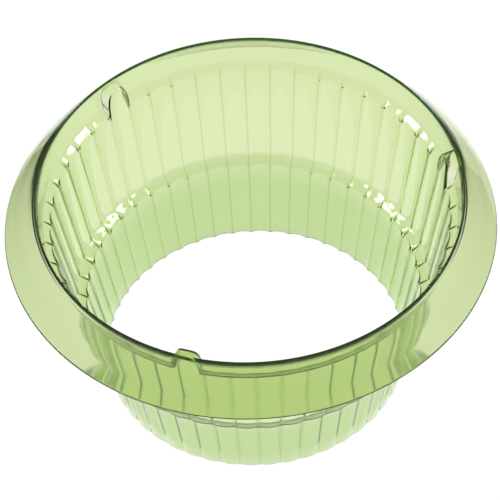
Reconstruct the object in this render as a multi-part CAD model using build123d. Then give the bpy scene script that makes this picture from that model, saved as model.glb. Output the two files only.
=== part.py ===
"""Garden slug-guard collar: one thin-walled ring, open at the top and at the bottom.

A smooth conical skirt hangs outside from the rim, which is a narrow fold. Inside the rim a smooth neck
leads down to two tiers of shallow vertical flutes, one below the other, each tier a step smaller than
what is above it. Three taller flutes cross the neck, so that nested collars don't jam.

The real collar is one moulding. Here it is divided at its own folds, and neighbours meet face to face.
Millimetres, +Z up, with the origin on the ground at the centre of the ring.
"""

from build123d import *
import math
import os

# Heights
total_height = 145.0
rim_height = 4.0
crest_height = 0.9
neck_height = 14.3
upper_tier_height = 68.0
skirt_drop = 27.5

# Radii of the outer surface, each at the top of its piece
neck_radius = 128.2
upper_tier_radius = 121.6
lower_tier_radius = 104.4
skirt_radius = 131.0
skirt_edge_radius = 148.5

# Wall thickness, and slopes from the vertical in degrees
wall = 1.5
tier_draft = 9.7
neck_draft = 11.0

# Flutes: each is an arc between two ridges that point inwards
flute_count = 48
flute_depth_ratio = 0.0125

# Stacking lugs: flutes that carry on up the neck
lug_count = 3
first_lug_angle = 10.9
lug_top_drop = 1.5

# Planes where the pieces meet
neck_top = total_height - rim_height
upper_shoulder_top = neck_top - neck_height
upper_tier_top = upper_shoulder_top - wall
middle_shoulder_top = upper_tier_top - upper_tier_height
lower_tier_top = middle_shoulder_top - wall
skirt_edge = total_height - skirt_drop
lug_top = total_height - lug_top_drop

flute_angle = 360 / flute_count
neck_slope = math.tan(math.radians(neck_draft))
tier_slope = math.tan(math.radians(tier_draft))
skirt_slope = (skirt_edge_radius - skirt_radius) / (neck_top - skirt_edge)
neck_foot_radius = neck_radius - neck_height * neck_slope


def tier_radius(top_radius, drop):
    """Outer radius of a fluted tier at a distance below its top."""
    return top_radius - drop * tier_slope


def on_circle(radius, angle, height):
    turn = math.radians(angle)
    return Vector(radius * math.cos(turn), radius * math.sin(turn), height)


def flute_arc(radius, middle_angle, height):
    """One flute: out to the radius at its middle, and in to a ridge at each side."""
    ridge_radius = radius * (1 - flute_depth_ratio)
    start = on_circle(ridge_radius, middle_angle - flute_angle / 2, height)
    middle = on_circle(radius, middle_angle, height)
    end = on_circle(ridge_radius, middle_angle + flute_angle / 2, height)
    return ThreePointArc(start, middle, end)


def fluted_section(radius, height):
    """The closed outline of all the flutes at one height."""
    middles = [first_lug_angle + k * flute_angle for k in range(flute_count)]
    arcs = [flute_arc(radius, angle, height) for angle in middles]
    return make_face(arcs)


def fluted_cone(top_radius, top, bottom_radius, bottom):
    """A solid bounded by the flutes, from one height down to another."""
    sections = [fluted_section(bottom_radius, bottom), fluted_section(top_radius, top)]
    return loft(sections, ruled=True)


def fluted_wall(top_radius, top, bottom):
    """One tier: a thin wall of flutes that tapers downwards."""
    bottom_radius = tier_radius(top_radius, top - bottom)
    outside = fluted_cone(top_radius, top, bottom_radius, bottom)
    inside = fluted_cone(top_radius - wall, top, bottom_radius - wall, bottom)
    return outside - inside


def turned(points):
    """A ring turned from a closed outline of radius and height pairs."""
    outline = make_face(Polyline([(radius, 0, height) for radius, height in points], close=True))
    return revolve(outline, axis=Axis.Z)


def make_skirt():
    """The conical guard: from the rim outwards and down to a free lower edge."""
    thickness = wall * math.sqrt(1 + skirt_slope**2)
    return turned([
        (skirt_radius, neck_top),
        (skirt_radius - thickness, neck_top),
        (skirt_edge_radius - thickness, skirt_edge),
        (skirt_edge_radius, skirt_edge),
    ])


def make_rim():
    """The fold at the very top: neck and skirt carry on up to each other and end in a small round crest."""
    rise = rim_height - crest_height
    inner_foot = (neck_radius - wall, 0, neck_top)
    outer_foot = (skirt_radius, 0, neck_top)
    inner_top = (neck_radius - wall + rise * neck_slope, 0, neck_top + rise)
    outer_top = (skirt_radius - rise * skirt_slope, 0, neck_top + rise)
    crest = ((inner_top[0] + outer_top[0]) / 2, 0, total_height)
    outline = [
        Line(inner_foot, inner_top),
        ThreePointArc(inner_top, crest, outer_top),
        Line(outer_top, outer_foot),
        Line(outer_foot, inner_foot),
    ]
    return revolve(make_face(outline), axis=Axis.Z)


def make_shoulder(outer_face, inner_top_radius, top):
    """A flat step inwards, whose inner edge follows the flutes of the tier below."""
    plate = extrude(outer_face, -wall)
    hole = fluted_cone(inner_top_radius, top, inner_top_radius, top - wall)
    return plate - hole


def lug_section(inset, height):
    """One level of a lug: an upright flute arc inside, the neck's arc outside, and two straight sides."""
    half = flute_angle / 2 - math.degrees(inset / upper_tier_radius)
    low = first_lug_angle - half
    high = first_lug_angle + half
    inner = upper_tier_radius - wall + inset
    ridge = inner * (1 - flute_depth_ratio)
    outer = neck_foot_radius + (height - upper_shoulder_top) * neck_slope
    flute = ThreePointArc(
        on_circle(ridge, low, height),
        on_circle(inner, first_lug_angle, height),
        on_circle(ridge, high, height),
    )
    neck_arc = ThreePointArc(
        on_circle(outer, low, height),
        on_circle(outer, first_lug_angle, height),
        on_circle(outer, high, height),
    )
    sides = [
        Line(on_circle(ridge, angle, height), on_circle(outer, angle, height))
        for angle in (low, high)
    ]
    return make_face([flute, neck_arc, *sides])


def lug_block(inset):
    """The space of one lug, smaller by the inset at its inner face, its sides and its top."""
    heights = (upper_tier_top, lug_top - inset)
    return loft([lug_section(inset, height) for height in heights], ruled=True)


def angle_round_ring(solid):
    """Where a solid's middle lies round the ring, from 0 to 360 degrees."""
    middle = solid.center()
    return math.degrees(math.atan2(middle.Y, middle.X)) % 360


def make_neck():
    """The smooth cone under the rim."""
    return turned([
        (neck_radius, neck_top),
        (neck_radius - wall, neck_top),
        (neck_foot_radius - wall, upper_shoulder_top),
        (neck_foot_radius, upper_shoulder_top),
    ])


rim = make_rim()
neck_band = make_neck()
upper_shoulder = make_shoulder(
    make_face(CenterArc((0, 0, upper_shoulder_top), neck_foot_radius, 0, 360)),
    upper_tier_radius - wall,
    upper_shoulder_top,
)
middle_shoulder = make_shoulder(
    fluted_section(tier_radius(upper_tier_radius, upper_tier_height), middle_shoulder_top),
    lower_tier_radius - wall,
    middle_shoulder_top,
)

# Each lug takes its place out of the neck and the upper shoulder, and ends against the rim's inner face.
# The lugs are as tall as the neck, so they leave it in three bands.
lugs = []
for number in range(lug_count):
    turn = Rotation(0, 0, number * 360 / lug_count)
    envelope = turn * lug_block(0) - rim
    lugs.append(envelope - turn * lug_block(wall))
    neck_band -= envelope
    upper_shoulder -= envelope

parts = {
    "skirt": make_skirt(),
    "rim": rim,
    "upper_shoulder": upper_shoulder,
    "upper_fluted_wall": fluted_wall(upper_tier_radius, upper_tier_top, middle_shoulder_top),
    "middle_shoulder": middle_shoulder,
    "lower_fluted_wall": fluted_wall(lower_tier_radius, lower_tier_top, 0),
}
for number, band in enumerate(sorted(neck_band.solids(), key=angle_round_ring), start=1):
    parts[f"neck_band_{number}"] = band
for number, lug in enumerate(lugs, start=1):
    parts[f"stacking_lug_{number}"] = lug

os.makedirs("parts", exist_ok=True)
for name, solid in parts.items():
    export_step(solid, f"parts/{name}.step")
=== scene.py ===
import math

import bpy
import numpy as np
from mathutils import Matrix, Vector


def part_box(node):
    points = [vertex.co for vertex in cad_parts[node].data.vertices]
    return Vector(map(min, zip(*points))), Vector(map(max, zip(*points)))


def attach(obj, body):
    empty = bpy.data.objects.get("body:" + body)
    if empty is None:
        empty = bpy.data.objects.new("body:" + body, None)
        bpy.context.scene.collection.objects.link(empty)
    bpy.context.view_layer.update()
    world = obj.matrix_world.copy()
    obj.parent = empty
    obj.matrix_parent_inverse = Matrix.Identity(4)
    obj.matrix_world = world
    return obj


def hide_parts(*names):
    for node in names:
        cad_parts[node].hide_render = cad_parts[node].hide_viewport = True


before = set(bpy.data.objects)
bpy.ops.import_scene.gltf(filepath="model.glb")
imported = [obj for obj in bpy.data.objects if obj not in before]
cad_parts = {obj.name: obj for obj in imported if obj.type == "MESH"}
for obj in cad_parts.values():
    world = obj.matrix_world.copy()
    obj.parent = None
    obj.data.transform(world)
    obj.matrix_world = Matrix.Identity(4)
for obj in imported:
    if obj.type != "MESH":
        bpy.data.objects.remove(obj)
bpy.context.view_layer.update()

MM = 0.001

# ------------------------------------------------------------------ sizes, from the frame
WALL = 1.5 * MM
FLUTES = 48
LUGS = 3
FIRST_LUG = math.radians(10.9)
FLUTE_DEPTH_RATIO = 0.0125
NECK_SLOPE = math.tan(math.radians(11.0))
TIER_SLOPE = math.tan(math.radians(9.7))

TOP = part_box("rim")[1].z
RIM_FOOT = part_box("rim")[0].z
UPPER_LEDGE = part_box("upper_shoulder")[1].z
MIDDLE_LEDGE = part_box("middle_shoulder")[1].z
SKIRT_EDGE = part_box("skirt")[0].z
SKIRT_EDGE_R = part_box("skirt")[1].x
SKIRT_TOP_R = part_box("rim")[1].x
LUG_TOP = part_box("stacking_lug_1")[1].z
NECK_R = 128.2 * MM
UPPER_R = 121.6 * MM
LOWER_R = 104.4 * MM
SKIRT_SLOPE = (SKIRT_EDGE_R - SKIRT_TOP_R) / (RIM_FOOT - SKIRT_EDGE)

# ------------------------------------------------------------------ shape of the flutes and lugs
FLUTE_SHARPNESS = 2.6  # 2 is an even curve, and more is flatter in the middle and steeper at the ridges
INNER_RIDGE_ROUND = 0.065  # share of a flute that a ridge's rounding takes on each side of it
OUTER_RIDGE_ROUND = 0.16
ARCH_DROP = 2.2 * MM  # each flute ends in a low arch, lowest at the ridges
ARCH_SHARPNESS = 5.0
SHOULDER_FALL = 1.5 * MM  # each step slopes, from this much above its height to this much below
GROOVE_TOP = TOP - 0.9 * MM  # underneath, neck and skirt part this far below the crest
GROOVE_FOOT = TOP - 2.6 * MM  # below this the neck is of even thickness
CREST_ROUND = 0.3 * MM
FLARE_SLOPE = math.tan(math.radians(33.0))  # just below the crest the inside opens out
LUG_BEND = UPPER_LEDGE - 7 * MM  # above this a lug stands upright
LUG_FALL = 1.2 * MM  # a lug's top slopes inwards
LUG_HALF_WIDTH = 0.5  # of a flute
LUG_ROUNDNESS = 3.4  # 2 is an ellipse, and more is squarer

# ------------------------------------------------------------------ fillets
INSIDE_EDGE_FILLET = 2.4 * MM  # inside, where a step turns down into a tier
INSIDE_FOOT_FILLET = 2.2 * MM  # inside, where a step meets the wall above it
OUTSIDE_EDGE_FILLET = 0.9 * MM
OUTSIDE_FOOT_FILLET = 3.4 * MM
BOTTOM_FILLET = 0.5 * MM
SKIRT_EDGE_FILLET = 0.7 * MM
FLARE_FILLET = 1.5 * MM
SKIRT_BEND_FILLET = 1.0 * MM
GROOVE_FILLET = 0.12 * MM
GROOVE_FOOT_FILLET = 0.5 * MM
HIGHEST_UNDER = RIM_FOOT + 2.0 * MM  # the outside of a step or lug stays a wall's thickness below this

# ------------------------------------------------------------------ how deep the green and its painted shade are, from 0 pale to 1 deep
UPPER_DEPTH = 0.10
# painted shade: the skirt is drawn a deeper green, standing in for the collar's green shadow on the floor
# seen through it
SKIRT_PAINTED_SHADE_DEPTH = 0.19
# painted shade: the lower tier is drawn a much deeper green, standing in for the shaded floor seen through
# it close to the base
LOWER_PAINTED_SHADE_DEPTH = 0.60
# painted shade: a darker green line along each ridge, standing in for the dark lines the ridges make by
# bending light
RIDGE_PAINTED_SHADE_DEPTH = 0.30
RIDGE_SHADE_WIDTH = 0.026
LOWER_SHADE_TOP = MIDDLE_LEDGE + 2 * MM
LOWER_SHADE_BLEND = 8 * MM
SKIRT_SHADE_BLEND = 6 * MM


def upper_tier(z):
    """Outer radius of the upper tier at a height, in the middle of a flute."""
    return UPPER_R - (UPPER_LEDGE - WALL - z) * TIER_SLOPE


def lower_tier(z):
    return LOWER_R - (MIDDLE_LEDGE - WALL - z) * TIER_SLOPE


def neck(z):
    return NECK_R - (RIM_FOOT - z) * NECK_SLOPE


# ------------------------------------------------------------------ the wall's section
class Section:
    """A closed line in the (radius, height) plane, with how much each point takes part in the flutes."""

    def __init__(self):
        self.points = []
        self.flutes = []

    def add(self, point, flute):
        self.points.append((float(point[0]), float(point[1])))
        self.flutes.append(flute)

    def run(self, start, end, flute_start, flute_end, pieces):
        """The inner points of a straight run; its ends belong to the corners."""
        for k in range(1, pieces):
            share = k / pieces
            point = [start[i] + (end[i] - start[i]) * share for i in (0, 1)]
            self.add(point, flute_start + (flute_end - flute_start) * share)

    def arc(self, before, corner, after, radius, flute, steps):
        """A fillet at a corner, or the bare corner when it has no steps."""
        if steps == 0:
            self.add(corner, flute)
            return
        here = np.array(corner)
        to_before = np.array(before) - here
        to_after = np.array(after) - here
        room = 0.48 * min(np.linalg.norm(to_before), np.linalg.norm(to_after))
        to_before /= np.linalg.norm(to_before)
        to_after /= np.linalg.norm(to_after)
        half = math.acos(max(-1.0, min(1.0, float(to_before @ to_after)))) / 2
        reach = min(radius / math.tan(half), room)
        radius = reach * math.tan(half)
        bisector = (to_before + to_after) / np.linalg.norm(to_before + to_after)
        centre = here + bisector * radius / math.sin(half)
        spoke = here + to_before * reach - centre
        side = to_before[0] * to_after[1] - to_before[1] * to_after[0]
        sweep = (math.pi - 2 * half) * (1 if side < 0 else -1)
        for k in range(steps + 1):
            turn = sweep * k / steps
            c, s = math.cos(turn), math.sin(turn)
            self.add(centre + np.array([c * spoke[0] - s * spoke[1], s * spoke[0] + c * spoke[1]]), flute)


def wall_section(middle_edge, upper_edge, upper_foot, upright):
    """The section from the bottom edge up the inside, over the rim, round the skirt and down the outside.

    The first three arguments are heights: the inner edge of the middle step, and the inner edge and the
    foot of the upper step. A stacking lug's section is upright above its bend.
    """
    middle_foot = MIDDLE_LEDGE + SHOULDER_FALL
    edge_r = UPPER_R if upright else upper_tier(upper_edge)
    under_edge = min(upper_edge, HIGHEST_UNDER) - WALL
    under_foot = min(upper_foot, HIGHEST_UNDER) - WALL
    under_edge_r = UPPER_R if upright else upper_tier(under_edge)
    skirt_wall = WALL * math.sqrt(1 + SKIRT_SLOPE**2)

    # the skirt and a short flare of the neck carry on up to an apex, which the crest rounds off
    half = (math.atan(SKIRT_SLOPE) + math.atan(FLARE_SLOPE)) / 2
    lean = (math.atan(SKIRT_SLOPE) - math.atan(FLARE_SLOPE)) / 2
    apex_z = TOP + CREST_ROUND * (math.cos(lean) / math.sin(half) - 1)
    apex_r = SKIRT_TOP_R - (apex_z - RIM_FOOT) * SKIRT_SLOPE
    flare_z = apex_z - (apex_r - neck(apex_z) + WALL) / (FLARE_SLOPE - NECK_SLOPE)

    # corner: radius, height, fillet, fillet steps, flute share, pieces in the run that follows
    corners = [
        (lower_tier(0) - WALL, 0.0, BOTTOM_FILLET, 3, 1.0, 4),
        (lower_tier(middle_edge) - WALL, middle_edge, INSIDE_EDGE_FILLET, 7, 1.0, 2),
        (upper_tier(middle_foot) - WALL, middle_foot, INSIDE_FOOT_FILLET, 6, 1.0, 4),
        (upper_tier(LUG_BEND) - WALL, LUG_BEND, 0.0, 0, 1.0, 2),
        (edge_r - WALL, upper_edge, INSIDE_EDGE_FILLET, 7, 1.0, 2),
        (neck(upper_foot) - WALL, upper_foot, INSIDE_FOOT_FILLET, 6, 0.0, 3),
        (neck(flare_z) - WALL, flare_z, FLARE_FILLET, 3, 0.0, 1),
        (apex_r, apex_z, CREST_ROUND, 5, 0.0, 3),
        (SKIRT_EDGE_R, SKIRT_EDGE, SKIRT_EDGE_FILLET, 4, 0.0, 1),
        (SKIRT_EDGE_R - skirt_wall, SKIRT_EDGE, SKIRT_EDGE_FILLET, 3, 0.0, 3),
        (SKIRT_TOP_R - skirt_wall, RIM_FOOT, SKIRT_BEND_FILLET, 3, 0.0, 1),
        (apex_r, GROOVE_TOP, GROOVE_FILLET, 3, 0.0, 1),
        (neck(GROOVE_FOOT), GROOVE_FOOT, GROOVE_FOOT_FILLET, 2, 0.0, 3),
        (neck(under_foot), under_foot, OUTSIDE_FOOT_FILLET, 5, 0.0, 2),
        (under_edge_r, under_edge, OUTSIDE_EDGE_FILLET, 3, 1.0, 2),
        (upper_tier(LUG_BEND), LUG_BEND, 0.0, 0, 1.0, 4),
        (upper_tier(middle_foot - WALL), middle_foot - WALL, OUTSIDE_FOOT_FILLET, 5, 1.0, 2),
        (lower_tier(middle_edge - WALL), middle_edge - WALL, OUTSIDE_EDGE_FILLET, 3, 1.0, 4),
        (lower_tier(0), 0.0, BOTTOM_FILLET, 2, 1.0, 1),
    ]
    filleted = []
    for i, (radius, height, fillet, steps, flute, pieces) in enumerate(corners):
        before, after = corners[i - 1][:2], corners[(i + 1) % len(corners)][:2]
        corner = Section()
        corner.arc(before, (radius, height), after, fillet, flute, steps)
        filleted.append(corner)
    whole = Section()
    for i, corner in enumerate(filleted):
        following = filleted[(i + 1) % len(filleted)]
        for point, flute in zip(corner.points, corner.flutes):
            whole.add(point, flute)
        pieces = corners[i][-1]
        whole.run(corner.points[-1], following.points[0], corner.flutes[-1], following.flutes[0], pieces)
    return np.array(whole.points), np.array(whole.flutes)


# ------------------------------------------------------------------ round the ring
RIDGE_STEPS = (0.0, 0.012, 0.025, 0.042, 0.065, 0.1, 0.155, 0.235, 0.35)


def stations():
    """Places round the ring, close together at the ridges.

    Returns their angles, and how far across its flute each one is, from -0.5 to 0.5.
    """
    half = [-0.5 + s for s in RIDGE_STEPS]
    shares = half + [0.0] + [-s for s in reversed(half[1:])]
    angles, flute_shares = [], []
    for flute in range(FLUTES):
        for share in shares:
            angles.append(FIRST_LUG + (flute + share) * 2 * math.pi / FLUTES)
            flute_shares.append(share)
    return np.array(angles), np.array(flute_shares)


def scallop(share, rounding):
    """0 in the middle of a flute and about 1 at the ridge, which is rounded."""
    from_ridge = 0.5 - np.abs(share)
    plain = (1 - 2 * from_ridge) ** FLUTE_SHARPNESS
    edge = 1 - 2 * rounding
    slope = -2 * FLUTE_SHARPNESS * edge ** (FLUTE_SHARPNESS - 1)
    bent = edge**FLUTE_SHARPNESS + slope * (from_ridge**2 - rounding**2) / (2 * rounding)
    return np.where(from_ridge < rounding, bent, plain)


def arch_dip(share):
    """0 in the middle of a flute and about 1 at the ridge, where its arched top is lowest."""
    return np.abs(2 * share) ** ARCH_SHARPNESS


def lug_share(angles):
    """0 off a stacking lug, rising to 1 in its middle as a rounded arch one flute wide."""
    pitch = 2 * math.pi / FLUTES
    turn = 2 * math.pi / LUGS
    away = np.abs((angles - FIRST_LUG + turn / 2) % turn - turn / 2) / pitch
    inside = np.clip(away / LUG_HALF_WIDTH, 0, 1)
    return (1 - inside**LUG_ROUNDNESS) ** (1 / LUG_ROUNDNESS)


def tint_and_painted_shade(height, radius, flutes, shares):
    """How deep the green looks: the plastic's own pale green, plus painted shade that is deepest in the
    lower tier, and deeper in the skirt and along the ridges.
    """
    # the lower tier, skirt and ridge terms below are painted shade, added to the plastic's own pale green
    lower = np.clip((LOWER_SHADE_TOP - height) / LOWER_SHADE_BLEND, 0, 1)
    skirt = np.clip((radius - SKIRT_TOP_R) / SKIRT_SHADE_BLEND, 0, 1)
    from_ridge = 0.5 - np.abs(shares)
    ridge = np.exp(-((from_ridge / RIDGE_SHADE_WIDTH) ** 2))[:, None] * flutes[None, :]
    tint_and_shade_depth = UPPER_DEPTH + (LOWER_PAINTED_SHADE_DEPTH - UPPER_DEPTH) * lower + (SKIRT_PAINTED_SHADE_DEPTH - UPPER_DEPTH) * skirt
    return np.clip(tint_and_shade_depth + RIDGE_PAINTED_SHADE_DEPTH * ridge, 0, 1)


def build_collar():
    middle_edge, upper_edge = MIDDLE_LEDGE - SHOULDER_FALL, UPPER_LEDGE - SHOULDER_FALL
    upper_foot = UPPER_LEDGE + SHOULDER_FALL
    plain, flutes = wall_section(middle_edge, upper_edge, upper_foot, False)
    dipped, _ = wall_section(middle_edge - ARCH_DROP, upper_edge - ARCH_DROP, upper_foot, False)
    tall, _ = wall_section(middle_edge, LUG_TOP - LUG_FALL, LUG_TOP, True)
    angles, shares = stations()
    dip = arch_dip(shares)[:, None, None]
    lug = lug_share(angles)[:, None, None]
    section = plain[None] + dip * (dipped - plain)[None] + lug * (tall - plain)[None]
    height = section[:, :, 1]
    outside = np.arange(len(plain)) > plain[:, 1].argmax()
    inner_ridge = scallop(shares, INNER_RIDGE_ROUND)[:, None]
    outer_ridge = scallop(shares, OUTER_RIDGE_ROUND)[:, None]
    ridge = np.where(outside[None, :], outer_ridge, inner_ridge)
    radius = section[:, :, 0] * (1 - FLUTE_DEPTH_RATIO * flutes[None, :] * ridge)
    x = radius * np.cos(angles)[:, None]
    y = radius * np.sin(angles)[:, None]
    points = np.stack([x, y, height], axis=2).reshape(-1, 3)
    around, along = len(angles), len(plain)
    faces = []
    for i in range(around):
        for j in range(along):
            i2, j2 = (i + 1) % around, (j + 1) % along
            faces.append((i * along + j, i * along + j2, i2 * along + j2, i2 * along + j))
    mesh = bpy.data.meshes.new("slug_guard_collar")
    mesh.from_pydata(points.tolist(), [], faces)
    mesh.polygons.foreach_set("use_smooth", [True] * len(faces))
    mesh.update()
    mesh.validate()
    # this attribute carries the plastic's own green and the painted shade in the lower tier, the skirt and
    # along the ridges
    tint_and_shade = mesh.attributes.new("tint_and_painted_shade", "FLOAT", "POINT")
    tint_and_shade.data.foreach_set("value", tint_and_painted_shade(height, radius, flutes, shares).ravel())
    collar = bpy.data.objects.new("slug_guard_collar", mesh)
    bpy.context.scene.collection.objects.link(collar)
    return collar


# ------------------------------------------------------------------ materials
PALE_TINT = (0.965, 0.97, 0.85, 1)
# the deep end is reached mostly through painted shade in the lower tier, the skirt and along the ridges
DEEP_TINT_AND_SHADE = (0.47, 0.64, 0.28, 1)
PLASTIC_CLARITY = 0.94
ABSORB_COLOUR = (0.656, 0.869, 0.11, 1)
ABSORB_DENSITY = 320.0
SMOOTHEST = 0.03
ROUGHEST = 0.09
RIPPLE_STRENGTH = 0.05


def node(tree, kind, **inputs):
    made = tree.nodes.new(kind)
    for name, value in inputs.items():
        made.inputs[name.replace("_", " ")].default_value = value
    return made


def green_plastic():
    """Clear green plastic, tinted by its thickness and by the colour and painted shade at its surface, with
    uneven gloss.
    """
    material = bpy.data.materials.new("green_plastic")
    material.use_nodes = True
    tree = material.node_tree
    shader = tree.nodes["Principled BSDF"]
    shader.inputs["Transmission Weight"].default_value = PLASTIC_CLARITY
    shader.inputs["IOR"].default_value = 1.5
    where = tree.nodes.new("ShaderNodeTexCoord")
    tint_and_shade_depth = tree.nodes.new("ShaderNodeAttribute")
    tint_and_shade_depth.attribute_name = "tint_and_painted_shade"
    # mixes the plastic's pale green with the painted shade
    tint_and_shade = tree.nodes.new("ShaderNodeMix")
    tint_and_shade.data_type = "RGBA"
    tint_and_shade.inputs[6].default_value = PALE_TINT
    tint_and_shade.inputs[7].default_value = DEEP_TINT_AND_SHADE
    tree.links.new(tint_and_shade_depth.outputs["Fac"], tint_and_shade.inputs[0])
    tree.links.new(tint_and_shade.outputs[2], shader.inputs["Base Color"])
    swirl = node(tree, "ShaderNodeTexNoise", Scale=60.0, Detail=4.0, Roughness=0.6)
    tree.links.new(where.outputs["Object"], swirl.inputs["Vector"])
    gloss = tree.nodes.new("ShaderNodeMapRange")
    gloss.inputs["To Min"].default_value = SMOOTHEST
    gloss.inputs["To Max"].default_value = ROUGHEST
    tree.links.new(swirl.outputs["Fac"], gloss.inputs["Value"])
    tree.links.new(gloss.outputs["Result"], shader.inputs["Roughness"])
    waves = node(tree, "ShaderNodeTexNoise", Scale=35.0, Detail=2.0, Roughness=0.5)
    tree.links.new(where.outputs["Object"], waves.inputs["Vector"])
    ripple = node(tree, "ShaderNodeBump", Strength=RIPPLE_STRENGTH, Distance=1 * MM)
    tree.links.new(waves.outputs["Fac"], ripple.inputs["Height"])
    tree.links.new(ripple.outputs["Normal"], shader.inputs["Normal"])
    absorb = tree.nodes.new("ShaderNodeVolumeAbsorption")
    absorb.inputs["Color"].default_value = ABSORB_COLOUR
    absorb.inputs["Density"].default_value = ABSORB_DENSITY
    tree.links.new(absorb.outputs["Volume"], tree.nodes["Material Output"].inputs["Volume"])
    return material


# ------------------------------------------------------------------ stage, light and camera
FLOOR_ALBEDO = 0.10
FLOOR_GLOW = 1.0
FLOOR_EDGE_GLOW = 0.45
FLOOR_LEFT = -0.212  # metres, as are the sheet's other sizes
FLOOR_RIGHT = 0.335
FLOOR_FRONT = -0.9
FLOOR_BACK = 0.33
LEFT_DIM = FLOOR_LEFT + 0.025  # the glow falls off towards the left and right edges
LEFT_FULL = FLOOR_LEFT + 0.045
RIGHT_DIM = FLOOR_RIGHT - 0.08
RIGHT_FULL = FLOOR_RIGHT - 0.15
SOFTBOX = (0.3, 0.45)
SOFTBOX_POWER = 9.0
SOFTBOX_ASIDE, SOFTBOX_BEHIND, SOFTBOX_HEIGHT = 1.1, 0.3, 1.2
LIGHT_TARGET = (0, 0, 0.1)
ROOM_DARK = 0.12
ROOM_BRIGHT = 1.0
ROOM_DARK_BELOW = -2.0  # degrees above the horizon
ROOM_BRIGHT_ABOVE = 12.0


def fade(tree, place, dim_at, full_at, full):
    """A strength that falls from full to the edge glow between two places."""
    ramp = tree.nodes.new("ShaderNodeMapRange")
    ramp.interpolation_type = "SMOOTHSTEP"
    ramp.inputs["From Min"].default_value = dim_at
    ramp.inputs["From Max"].default_value = full_at
    ramp.inputs["To Min"].default_value = FLOOR_EDGE_GLOW
    if isinstance(full, float):
        ramp.inputs["To Max"].default_value = full
    else:
        tree.links.new(full, ramp.inputs["To Max"])
    tree.links.new(place, ramp.inputs["Value"])
    return ramp.outputs["Result"]


def floor_material():
    """A pale light table. Most of its brightness is a glow, so the collar casts hardly any shadow."""
    material = bpy.data.materials.new("studio_floor")
    material.use_nodes = True
    shader = material.node_tree.nodes["Principled BSDF"]
    shader.inputs["Base Color"].default_value = (FLOOR_ALBEDO, FLOOR_ALBEDO, FLOOR_ALBEDO, 1)
    shader.inputs["Roughness"].default_value = 0.9
    shader.inputs["Specular IOR Level"].default_value = 0.0
    shader.inputs["Emission Color"].default_value = (1, 1, 1, 1)
    where = material.node_tree.nodes.new("ShaderNodeTexCoord")
    split = material.node_tree.nodes.new("ShaderNodeSeparateXYZ")
    material.node_tree.links.new(where.outputs["Object"], split.inputs["Vector"])
    glow = fade(material.node_tree, split.outputs["X"], LEFT_DIM, LEFT_FULL, FLOOR_GLOW)
    glow = fade(material.node_tree, split.outputs["X"], RIGHT_DIM, RIGHT_FULL, glow)
    material.node_tree.links.new(glow, shader.inputs["Emission Strength"])
    return material


def make_floor():
    """A white sheet a little larger than the view. Past its edges the collar mirrors a dim room."""
    corners = [(x, y, -0.2 * MM) for y in (FLOOR_FRONT, FLOOR_BACK) for x in (FLOOR_LEFT, FLOOR_RIGHT)]
    mesh = bpy.data.meshes.new("studio_floor")
    mesh.from_pydata(corners, [], [(0, 1, 3, 2)])
    mesh.materials.append(floor_material())
    floor = bpy.data.objects.new("studio_floor", mesh)
    bpy.context.scene.collection.objects.link(floor)


def make_world():
    """A room that is dim below the horizon and bright a little above it."""
    world = bpy.data.worlds.new("studio")
    world.use_nodes = True
    tree = world.node_tree
    where = tree.nodes.new("ShaderNodeTexCoord")
    split = tree.nodes.new("ShaderNodeSeparateXYZ")
    ramp = tree.nodes.new("ShaderNodeMapRange")
    ramp.interpolation_type = "SMOOTHSTEP"
    ramp.inputs["From Min"].default_value = math.sin(math.radians(ROOM_DARK_BELOW))
    ramp.inputs["From Max"].default_value = math.sin(math.radians(ROOM_BRIGHT_ABOVE))
    ramp.inputs["To Min"].default_value = ROOM_DARK
    ramp.inputs["To Max"].default_value = ROOM_BRIGHT
    tree.links.new(where.outputs["Generated"], split.inputs["Vector"])
    tree.links.new(split.outputs["Z"], ramp.inputs["Value"])
    tree.links.new(ramp.outputs["Result"], tree.nodes["Background"].inputs["Strength"])
    bpy.context.scene.world = world


def soft_light(name, place, target, size, power):
    data = bpy.data.lights.new(name, "AREA")
    data.shape = "RECTANGLE"
    data.size, data.size_y = size
    data.energy = power
    light = bpy.data.objects.new(name, data)
    light.location = place
    aim = Vector(target) - Vector(place)
    light.rotation_euler = aim.to_track_quat("-Z", "Y").to_euler()
    bpy.context.scene.collection.objects.link(light)
    return light


ELEVATION = math.radians(49.96)
ROLL = math.radians(2.56)
SCALE_RADIUS = 0.130
DISTANCE = 14 * SCALE_RADIUS
AIM_RIGHT = 0.008 * SCALE_RADIUS
AIM_UP = 0.262 * SCALE_RADIUS
LENS = 220.2


def make_camera():
    right = Vector((1, 0, 0))
    up = Vector((0, math.sin(ELEVATION), math.cos(ELEVATION)))
    back = right.cross(up)
    aim = Vector((0, 0, TOP)) - AIM_RIGHT * right - AIM_UP * up
    place = aim + back * DISTANCE
    rolled_right = right * math.cos(ROLL) - up * math.sin(ROLL)
    rolled_up = right * math.sin(ROLL) + up * math.cos(ROLL)
    data = bpy.data.cameras.new("camera")
    data.lens = LENS
    data.sensor_width = 36.0
    data.clip_end = 100.0
    camera = bpy.data.objects.new("camera", data)
    turn = Matrix((rolled_right, rolled_up, back)).transposed().to_4x4()
    camera.matrix_world = Matrix.Translation(place) @ turn
    bpy.context.scene.collection.objects.link(camera)
    bpy.context.scene.camera = camera


BOUNCES = 24  # enough to see through several clear walls

make_camera()
make_world()
make_floor()
for side_name, side in (("left", -1), ("right", 1)):
    softbox_place = (side * SOFTBOX_ASIDE, SOFTBOX_BEHIND, SOFTBOX_HEIGHT)
    soft_light(side_name + "_softbox", softbox_place, LIGHT_TARGET, SOFTBOX, SOFTBOX_POWER)

collar = build_collar()
collar.data.materials.append(green_plastic())
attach(collar, "root")
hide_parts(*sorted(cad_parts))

bpy.context.scene.view_settings.view_transform = "Standard"
bpy.context.scene.cycles.max_bounces = BOUNCES
bpy.context.scene.cycles.transmission_bounces = BOUNCES
